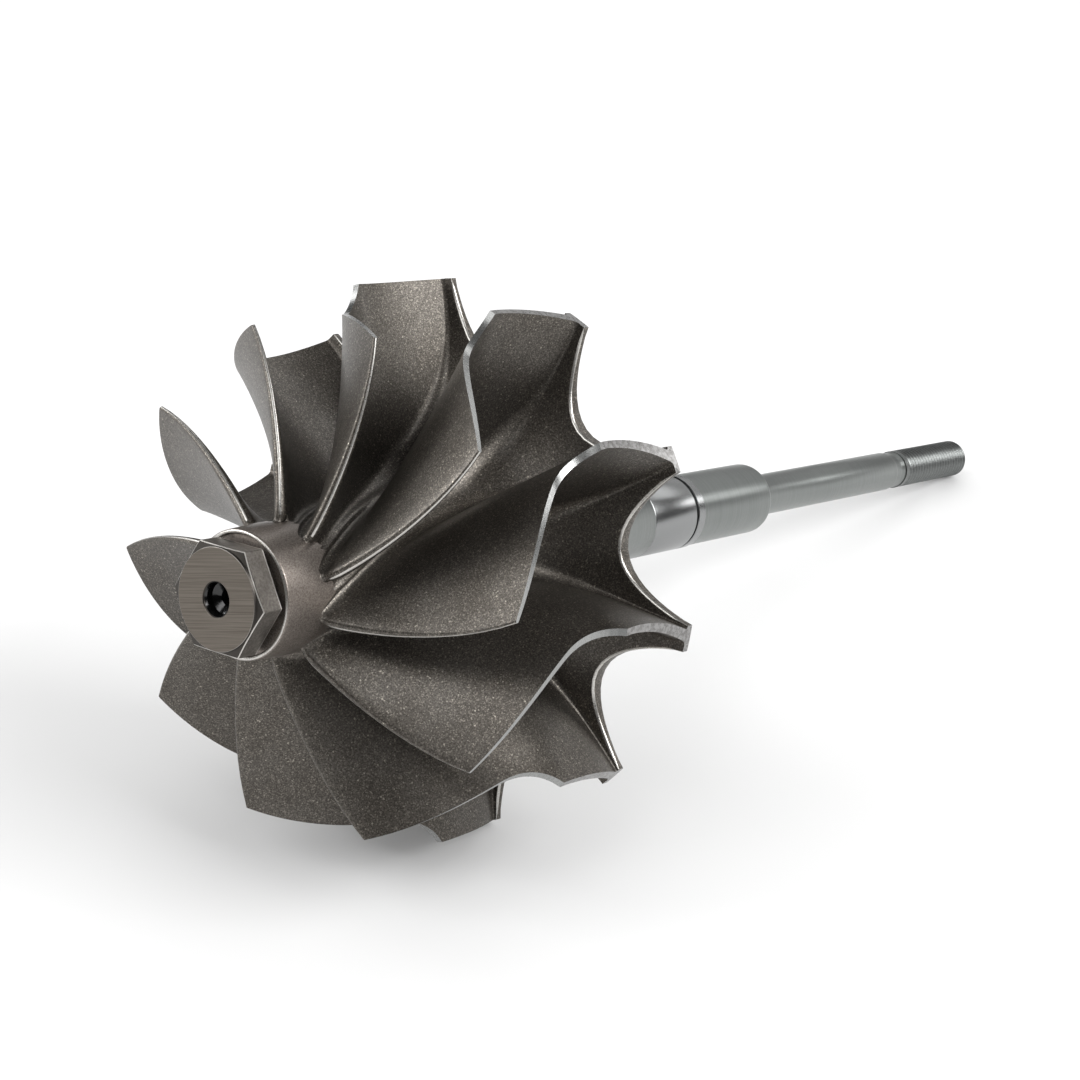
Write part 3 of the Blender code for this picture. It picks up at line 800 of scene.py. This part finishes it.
def wheel_tree(finish):
    """The passage, repeated about the axis and joined into one casting."""
    tree, (passage, blades, weld) = new_tree("wheel_from_passages", {
        "Passage": "Geometry", "Blades": "Int", "Weld distance": "Float"})
    spots = Wire.node(tree, "GeometryNodeMeshLine", {}, {"Count": blades, "Offset": (0.0, 0.0, 0.0)})
    index = Wire.node(tree, "GeometryNodeInputIndex")
    turn = Wire.node(tree, "ShaderNodeCombineXYZ", {}, {"Z": index * (2.0 * pi) / blades})
    rotation = Wire.node(tree, "FunctionNodeEulerToRotation", {}, {0: turn})
    copies = Wire.node(tree, "GeometryNodeInstanceOnPoints", {},
                       {"Points": spots, "Instance": passage, "Rotation": rotation})
    real = Wire.node(tree, "GeometryNodeRealizeInstances", {}, {"Geometry": copies})
    joined = Wire.node(tree, "GeometryNodeMergeByDistance", {}, {"Geometry": real, "Distance": weld})
    return end_tree(joined, finish)


def grow(blank, tree, sizes):
    """Plain mesh that a tree makes of a blank object, with its inputs set by their identifiers."""
    modifier = blank.modifiers.new(tree.name, "NODES")
    modifier.node_group = tree
    for item in tree.interface.items_tree:
        if item.in_out == "INPUT" and item.name in sizes:
            modifier[item.identifier] = sizes[item.name]
    bpy.context.view_layer.update()
    mesh = bpy.data.meshes.new_from_object(blank.evaluated_get(bpy.context.evaluated_depsgraph_get()))
    bpy.data.objects.remove(blank)
    return mesh


def finish_mesh(mesh, name, crease=CREASE, place=rotor):
    """Piece from its mesh, put in its place: merged, faces outwards, smooth but for its creases."""
    bm = bmesh.new()
    bm.from_mesh(mesh)
    bmesh.ops.remove_doubles(bm, verts=bm.verts, dist=MERGE_DISTANCE)
    bmesh.ops.recalc_face_normals(bm, faces=bm.faces)
    for face in bm.faces:
        face.smooth = True
    bm.to_mesh(mesh)
    bm.free()
    mesh.name = name
    mesh.transform(place)
    mesh.set_sharp_from_angle(angle=crease)
    return placed(name, mesh)


cast_alloy = casting_material()
wheel = grow(passage, wheel_tree(cast_alloy), {"Blades": BLADES, "Weld distance": MERGE_DISTANCE})
casting = finish_mesh(wheel, "wheel_casting", CREASE,
                      rotor @ Matrix.Rotation(pi / 2.0 + PITCH / 2.0, 4, "Z"))
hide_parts("hub", "back_disc", "shaft_boss", *[f"blade_{k + 1:02d}" for k in range(BLADES)])
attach(casting, "root")


# Nose collar. Front end of the same casting, turned true on its outside so that the rotor can be
# held and balanced. A rounded lip stands round the recess that the hexagon rises from.
COLLAR_FRONT_Z = -0.0119
LIP_WIDTH = 0.0003
RECESS_RADIUS = 0.0059
RECESS_DEPTH = 0.0006
RECESS_FLOOR_Z = COLLAR_FRONT_Z + RECESS_DEPTH
COLLAR_BACK = ((0.0, 0.0004), (0.0070, 0.0004), (COLLAR_BACK_RADIUS - 0.0003, 0.0002),
               (COLLAR_BACK_RADIUS, 0.0001), (COLLAR_BACK_RADIUS, 0.0))
LIP_STEPS = 10
LIP_FLANK_STEPS = 3
TURNED_SEGMENTS = 144


def built_mesh(bm, name, finish):
    """Plain mesh of what was built, with its finish."""
    mesh = bpy.data.meshes.new(name)
    bm.to_mesh(mesh)
    bm.free()
    mesh.materials.append(finish)
    return mesh


def lathe(name, profile, finish):
    """Closed turned piece from its profile of (radius, z) points, first and last on the axis."""
    bm = bmesh.new()
    rings = []
    for radius, z in profile:
        angles = [2.0 * pi * i / TURNED_SEGMENTS for i in range(TURNED_SEGMENTS if radius else 1)]
        rings.append([bm.verts.new((radius * cos(angle), radius * sin(angle), z)) for angle in angles])
    for here, there in zip(rings, rings[1:]):
        for i in range(TURNED_SEGMENTS):
            corners = [ring[at % len(ring)]
                       for ring, at in ((here, i), (here, i + 1), (there, i + 1), (there, i))]
            bm.faces.new(list(dict.fromkeys(corners)))
    return finish_mesh(built_mesh(bm, name, finish), name)


collar_profile = [(radius, COLLAR_JOINT_Z + step) for radius, step in COLLAR_BACK]
lip_start = len(collar_profile)
collar_profile += arc((COLLAR_RADIUS - LIP_WIDTH, COLLAR_FRONT_Z + LIP_WIDTH), LIP_WIDTH,
                      0, -180, LIP_STEPS)
collar_profile += [(COLLAR_RADIUS - 2.0 * LIP_WIDTH, RECESS_FLOOR_Z), (RECESS_RADIUS, RECESS_FLOOR_Z),
                   (0.0, RECESS_FLOOR_Z)]
collar = lathe("nose_collar_turned", collar_profile, cast_alloy)
collar_marks = collar.data.attributes.new("finish_and_highlight", "FLOAT", "FACE")
# The lip's middle rows carry the crest mark: a painted highlight round the lip.
highlighted_lip_faces = range((lip_start + LIP_FLANK_STEPS) * TURNED_SEGMENTS,
                   (lip_start + LIP_STEPS - LIP_FLANK_STEPS) * TURNED_SEGMENTS)
collar_marks.data.foreach_set("value", [CREST_HIGHLIGHT if face.index in highlighted_lip_faces else COLLAR_SKIN
                                        for face in collar.data.polygons])
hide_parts("nose_collar")
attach(collar, "root")


# Hexagon nose. Spanner hexagon milled from the casting's nose, its front corners turned off to a
# round face and the face brushed across. The lathe's centre runs in the drilled hole.
NOSE_FACE_Z = -0.0157
HEX_BACK_Z = -0.0122
HEX_HALF_FLATS = 0.00635
HEX_TURN = radians(24.2)
HEX_CORNER_RADIUS = 0.00729
FACE_RADIUS = 0.00619
FACE_EDGE = 0.00005
FACE_EDGE_DROP = 0.00003
STEP_RADIUS = 0.00626
STEP_DROP = 0.00026
CORNER_DROP = 0.00045
EDGE_BREAK = 0.00011
BURR_WIDTH = 0.00014
NARROWEST_STEP = 0.00002
FACE_MIDDLE = 0.0040
FOOT_CHAMFER = 0.0002
BRUSHING_TURN = radians(18.0)
# radius, depth
CENTRE_HOLE = ((0.00222, 0.0), (0.00210, 0.00010), (0.00190, 0.00045), (0.00188, 0.00130),
               (0.00110, 0.00180), (0.00098, 0.00190), (0.00096, 0.00285), (0.0, 0.00320))
FACE_TONES = (0.124, 0.108, 0.091, 1), (0.176, 0.156, 0.134, 1)
SMEAR_TONE = (0.098, 0.084, 0.070, 1)
SIDE_TONES = (0.155, 0.142, 0.128, 1), (0.245, 0.226, 0.205, 1)
STAIN_TONE = (0.10, 0.09, 0.08, 1)
TURNED_OFF_TONE = (0.055, 0.050, 0.045, 1)
PAINTED_EDGE_HIGHLIGHT_TONE = (0.52, 0.50, 0.47, 1)
# painted shade: near black over the whole drilled hole
HOLE_SHADE_TONE = (0.05, 0.05, 0.05, 1)
BRUSHING_DEPTH = 0.00003


def hexagon_radius(angle):
    """Distance to the hexagon's outline in a direction, its corners just broken."""
    off = (angle - HEX_TURN + pi / 6.0) % (pi / 3.0) - pi / 6.0
    return min(HEX_HALF_FLATS / cos(off), HEX_CORNER_RADIUS)


def hexagon_directions():
    """Directions round the hexagon: close together only at its corners."""
    corner = acos(HEX_HALF_FLATS / HEX_CORNER_RADIUS)
    offsets = [-corner] + [radians(step) for step in range(-25, 30, 5)] + [corner]
    return [HEX_TURN + pi / 3.0 * side + off for side in range(6) for off in offsets]


def hexagon_section(outline):
    """The nose's section in one direction: up the hole, over the face and down into the recess."""
    chamfer_end = max(outline - EDGE_BREAK, STEP_RADIUS + NARROWEST_STEP)
    turned = (chamfer_end - STEP_RADIUS) / (HEX_CORNER_RADIUS - STEP_RADIUS)
    corner_z = NOSE_FACE_Z + STEP_DROP + (CORNER_DROP - STEP_DROP) * turned
    foot_z = RECESS_FLOOR_Z + FOOT_CHAMFER
    return [(radius, NOSE_FACE_Z + depth) for radius, depth in reversed(CENTRE_HOLE)] + [
        (FACE_MIDDLE, NOSE_FACE_Z), (FACE_RADIUS - FACE_EDGE, NOSE_FACE_Z),
        (FACE_RADIUS, NOSE_FACE_Z + FACE_EDGE_DROP), (STEP_RADIUS, NOSE_FACE_Z + STEP_DROP),
        (chamfer_end, corner_z), (outline, corner_z + EDGE_BREAK),
        (outline, HEX_BACK_Z - EDGE_BREAK - BURR_WIDTH), (outline, HEX_BACK_Z - EDGE_BREAK),
        (chamfer_end, HEX_BACK_Z), (RECESS_RADIUS, HEX_BACK_Z),
        (RECESS_RADIUS - FOOT_CHAMFER, HEX_BACK_Z + FOOT_CHAMFER),
        (RECESS_RADIUS - FOOT_CHAMFER, foot_z), (0.0, foot_z)]


def hexagon_mesh(finish):
    """Closed nose, with a mark on the rows that get a painted highlight: the face's rim, the broken edges
    and the burr.
    """
    bm = bmesh.new()
    columns = [[bm.verts.new((radius * cos(angle), radius * sin(angle), z))
                for radius, z in hexagon_section(hexagon_radius(angle))]
               for angle in hexagon_directions()]
    edge = bm.faces.layers.float.new("edge_highlight")
    face_row = len(CENTRE_HOLE)
    # rows that get a painted highlight, and how strong it is
    shine = {face_row + 1: 0.35, face_row + 4: 1.0, face_row + 6: 0.9, face_row + 7: 1.0}
    for here, there in zip(columns, columns[1:] + columns[:1]):
        for row, corners in enumerate(zip(here, here[1:], there[1:], there)):
            bm.faces.new(corners)[edge] = shine.get(row, 0.0)
    return built_mesh(bm, "hexagon_nose", finish)


def axes_of(place):
    """The three coordinates of a place."""
    apart = Wire.node(place.tree, "ShaderNodeSeparateXYZ", {}, {"Vector": place})
    return [Wire(socket) for socket in apart.socket.node.outputs]


def hexagon_material():
    """Brushed face, milled sides and broken edges with a painted highlight; the drilled hole is painted near
    black as shade.
    """
    mat, tree, shader = new_material("milled_nose")
    place = rotor_position(tree)
    x, y, z = axes_of(place)
    edge = Wire.node(tree, "ShaderNodeAttribute", {"attribute_name": "edge_highlight"}, out=2)
    turned_way = Wire.node(tree, "ShaderNodeMapping", {},
                           {"Vector": place, "Rotation": (0.0, 0.0, BRUSHING_TURN)})
    brushed_way = stretched(turned_way, 0.014, 1.0, 1.0)
    streaks, smears = noise(brushed_way, 8200.0), noise(brushed_way, 4400.0, 2.0)
    grain, stains = noise(place, 3400.0), noise(place, 420.0)
    on_face = 1 - z.above(NOSE_FACE_Z + 0.00001, NOSE_FACE_Z + 0.00004)
    turned_off = (1 - z.above(NOSE_FACE_Z + CORNER_DROP, NOSE_FACE_Z + CORNER_DROP + 0.0001)) * (1 - on_face)
    inside = 1 - (x * x + y * y).above(0.0020 ** 2, 0.0021 ** 2)
    face = blend_colours(streaks.above(0.3, 0.7), *FACE_TONES)
    face = blend_colours(smears.above(0.55, 0.75) * 0.55, face, SMEAR_TONE)
    side = blend_colours(grain.above(0.3, 0.7), *SIDE_TONES)
    side = blend_colours(stains.above(0.5, 0.7) * 0.5, side, STAIN_TONE)
    colour = blend_colours(turned_off, side, TURNED_OFF_TONE)
    colour = blend_colours(on_face, colour, face)
    # Painted highlight on the face's rim, the broken edges and the burr.
    colour = blend_colours(edge, colour, PAINTED_EDGE_HIGHLIGHT_TONE)
    # Painted shade: the drilled hole is coloured near black.
    colour = blend_colours(inside, colour, HOLE_SHADE_TONE)
    gloss = (0.34 + 0.12 * streaks) * (1 - 0.6 * inside)
    dress(shader, colour, gloss, 0.95, streaks * on_face + grain * (1 - on_face), 0.4, BRUSHING_DEPTH)
    return mat


hexagon = finish_mesh(hexagon_mesh(hexagon_material()), "hexagon_nose", radians(14.0))
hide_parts("hex_nose")
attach(hexagon, "root")


# Shaft. Alloy-steel bar, friction-welded to the wheel's boss and then ground: weld length, land with
# the sealing ring's groove, bearing journal with a rounded shoulder, thin stem and undercut neck.
WELD_Z = 0.0669
WELD_LENGTH_MIDDLE_Z = 0.0520
GROOVE_Z = 0.0776
GROOVE_WIDTH = 0.00055
GROOVE_DEPTH = 0.0005
GROOVE_FLOOR = SEAL_RADIUS - GROOVE_DEPTH
GROOVE_EDGE = 0.0001
WELD_SEAM_WIDTH = 0.00012
WELD_SEAM_DEPTH = 0.00006
END_BREAK = 0.0002
JOURNAL_RADIUS = 0.00538
JOURNAL_START_Z = 0.0800
JOURNAL_MIDDLE_Z = 0.0900
JOURNAL_END_Z = 0.0995
SHOULDER_ROUND = 0.0013
STEM_RADIUS = 0.0032
STEM_FILLET = 0.0003
STEM_MIDDLE_Z = 0.1200
NECK_RADIUS = 0.00302
NECK_Z = 0.1434
# radius, distance from the neck's start
NECK_STEPS = ((STEM_RADIUS, 0.0), (STEM_RADIUS - 0.00006, 0.0002), (NECK_RADIUS, 0.0007),
              (NECK_RADIUS, 0.0018), (NECK_RADIUS - 0.00003, 0.0020), (NECK_RADIUS - 0.00003, 0.0024),
              (NECK_RADIUS, 0.0026))
THREAD_START_Z = 0.1470
THREAD_LAP = 0.0003
RING_TONES = (0.195, 0.206, 0.200, 1), (0.235, 0.247, 0.240, 1)
HANDLED_TONE = (0.22, 0.235, 0.225, 1)
POLISHED_TONE = (0.28, 0.285, 0.285, 1)
STEEL_RELIEF_DEPTH = 0.00002


def shaft_material():
    """Fine grinding rings, clouded by handling, and a brighter polished land beside the wheel."""
    mat, tree, shader = new_material("ground_shaft_steel")
    place = rotor_position(tree)
    z = axes_of(place)[2]
    rings = noise(stretched(place, 0.02, 0.02, 1.0), 4200.0)
    clouds = noise(place, 260.0).above(0.3, 0.7)
    specks = noise(place, 2600.0)
    polished = (z.above(WELD_Z - 0.0001, WELD_Z + 0.0001)
                * (1 - z.above(JOURNAL_START_Z - END_BREAK, JOURNAL_START_Z)))
    colour = blend_colours(rings.above(0.25, 0.75), *RING_TONES)
    colour = blend_colours(clouds * 0.4, colour, HANDLED_TONE)
    colour = blend_colours(polished, colour, POLISHED_TONE)
    gloss = 0.26 + 0.12 * specks * (1 - 0.7 * polished) + 0.04 * rings - 0.04 * polished
    relief = (0.5 * rings + 0.7 * specks) * (1 - 0.8 * polished)
    dress(shader, colour, gloss, 1.0, relief, 0.3, STEEL_RELIEF_DEPTH)
    return mat


shaft_profile = [
    (0.0, BOSS_END_Z - END_BREAK), (SEAL_RADIUS - END_BREAK, BOSS_END_Z - END_BREAK),
    (SEAL_RADIUS, BOSS_END_Z), (SEAL_RADIUS, WELD_LENGTH_MIDDLE_Z),
    (SEAL_RADIUS, WELD_Z - WELD_SEAM_WIDTH),
    (SEAL_RADIUS - WELD_SEAM_DEPTH, WELD_Z), (SEAL_RADIUS, WELD_Z + WELD_SEAM_WIDTH),
    (SEAL_RADIUS, GROOVE_Z - GROOVE_EDGE), (SEAL_RADIUS - GROOVE_EDGE, GROOVE_Z),
    (GROOVE_FLOOR, GROOVE_Z), (GROOVE_FLOOR, GROOVE_Z + GROOVE_WIDTH),
    (SEAL_RADIUS - GROOVE_EDGE, GROOVE_Z + GROOVE_WIDTH),
    (SEAL_RADIUS, GROOVE_Z + GROOVE_WIDTH + GROOVE_EDGE), (SEAL_RADIUS, JOURNAL_START_Z - END_BREAK),
    (JOURNAL_RADIUS, JOURNAL_START_Z), (JOURNAL_RADIUS, JOURNAL_MIDDLE_Z),
]
shaft_profile += arc((JOURNAL_RADIUS - SHOULDER_ROUND, JOURNAL_END_Z - SHOULDER_ROUND),
                     SHOULDER_ROUND, 0, 90, 8)
shaft_profile += arc((STEM_RADIUS + STEM_FILLET, JOURNAL_END_Z + STEM_FILLET), STEM_FILLET, -90, -180, 4)
shaft_profile += [(STEM_RADIUS, STEM_MIDDLE_Z)] + [(radius, NECK_Z + step) for radius, step in NECK_STEPS]
shaft_profile += [(NECK_RADIUS, THREAD_START_Z + THREAD_LAP), (0.0, THREAD_START_Z + THREAD_LAP)]
shaft = lathe("ground_shaft", shaft_profile, shaft_material())
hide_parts("weld_hub", "ring_land", "bearing_journal", "shaft_stem", "thread_neck")
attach(shaft, "root")


# Threaded end. Rolled thread that the compressor wheel's nut runs on, with a chamfered start. It is
# part of the same bar, and its flanks keep the dull finish of rolling.
THREAD_RADIUS = 0.003175
THREAD_DEPTH = 0.00030
THREAD_PITCH = 0.0010
SHAFT_END_Z = 0.1698
END_CHAMFER = 0.0006
RUN_OUT = (0.0003, 0.0022)
FLANK = (0.10, 0.92)
THREAD_COLUMNS = 49
THREAD_ROWS = 276
THREAD_TONES = (0.12, 0.126, 0.123, 1), (0.22, 0.229, 0.225, 1)


def thread_tree(finish):
    """A sheet wound round the axis, its radius following the thread's flanks."""
    inputs = dict.fromkeys(("Radius", "Depth", "Pitch", "Start", "End", "Chamfer"), "Float")
    inputs.update({"Columns": "Int", "Rows": "Int"})
    tree, (radius, depth, pitch, start, end, chamfer, columns, rows) = new_tree("rolled_thread", inputs)
    flat = Wire.node(tree, "GeometryNodeMeshGrid", {},
                     {"Size X": 1.0, "Size Y": 1.0, "Vertices X": columns, "Vertices Y": rows})
    across, along, _ = axes_of(Wire.node(tree, "GeometryNodeInputPosition"))
    turn = across + 0.5
    z = start + (end - start) * (along + 0.5)
    phase = (z / pitch - turn).maths("FRACT")
    crest = ((phase - 0.5).maths("ABSOLUTE") * 2.0).above(*FLANK)
    cut = depth * (1 - crest) * z.above(*(start + run for run in RUN_OUT))
    lead = ((end - z) / chamfer).maths("MINIMUM", 1.0)
    reach = (radius - cut).maths("MINIMUM", radius - chamfer * (1 - lead))
    swing = turn * (2.0 * pi)
    spot = Wire.node(tree, "ShaderNodeCombineXYZ", {},
                     {"X": reach * swing.maths("COSINE"), "Y": reach * swing.maths("SINE"), "Z": z})
    wound = Wire.node(tree, "GeometryNodeSetPosition", {}, {"Geometry": flat, "Position": spot})
    closed = Wire.node(tree, "GeometryNodeMergeByDistance", {}, {"Geometry": wound, "Distance": SAME_SPOT})
    return end_tree(closed, finish)


def thread_material():
    """Dull grain of the rolling, the same all over."""
    mat, tree, shader = new_material("rolled_thread_steel")
    grain = noise(rotor_position(tree), 2600.0)
    colour = blend_colours(grain, *THREAD_TONES)
    dress(shader, colour, 0.32 + 0.12 * grain, 1.0, grain, 0.2, STEEL_RELIEF_DEPTH)
    return mat


def close_ends(mesh):
    """Caps the thread's two open ends."""
    bm = bmesh.new()
    bm.from_mesh(mesh)
    bmesh.ops.holes_fill(bm, edges=[edge for edge in bm.edges if edge.is_boundary])
    bm.to_mesh(mesh)
    bm.free()


blank = placed("thread_blank", bpy.data.meshes.new("thread_blank"))
wound = grow(blank, thread_tree(thread_material()), {
    "Radius": THREAD_RADIUS, "Depth": THREAD_DEPTH, "Pitch": THREAD_PITCH, "Start": THREAD_START_Z,
    "End": SHAFT_END_Z, "Chamfer": END_CHAMFER, "Columns": THREAD_COLUMNS, "Rows": THREAD_ROWS})
close_ends(wound)
thread = finish_mesh(wound, "rolled_thread", radians(60.0))
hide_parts("threaded_end")
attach(thread, "root")
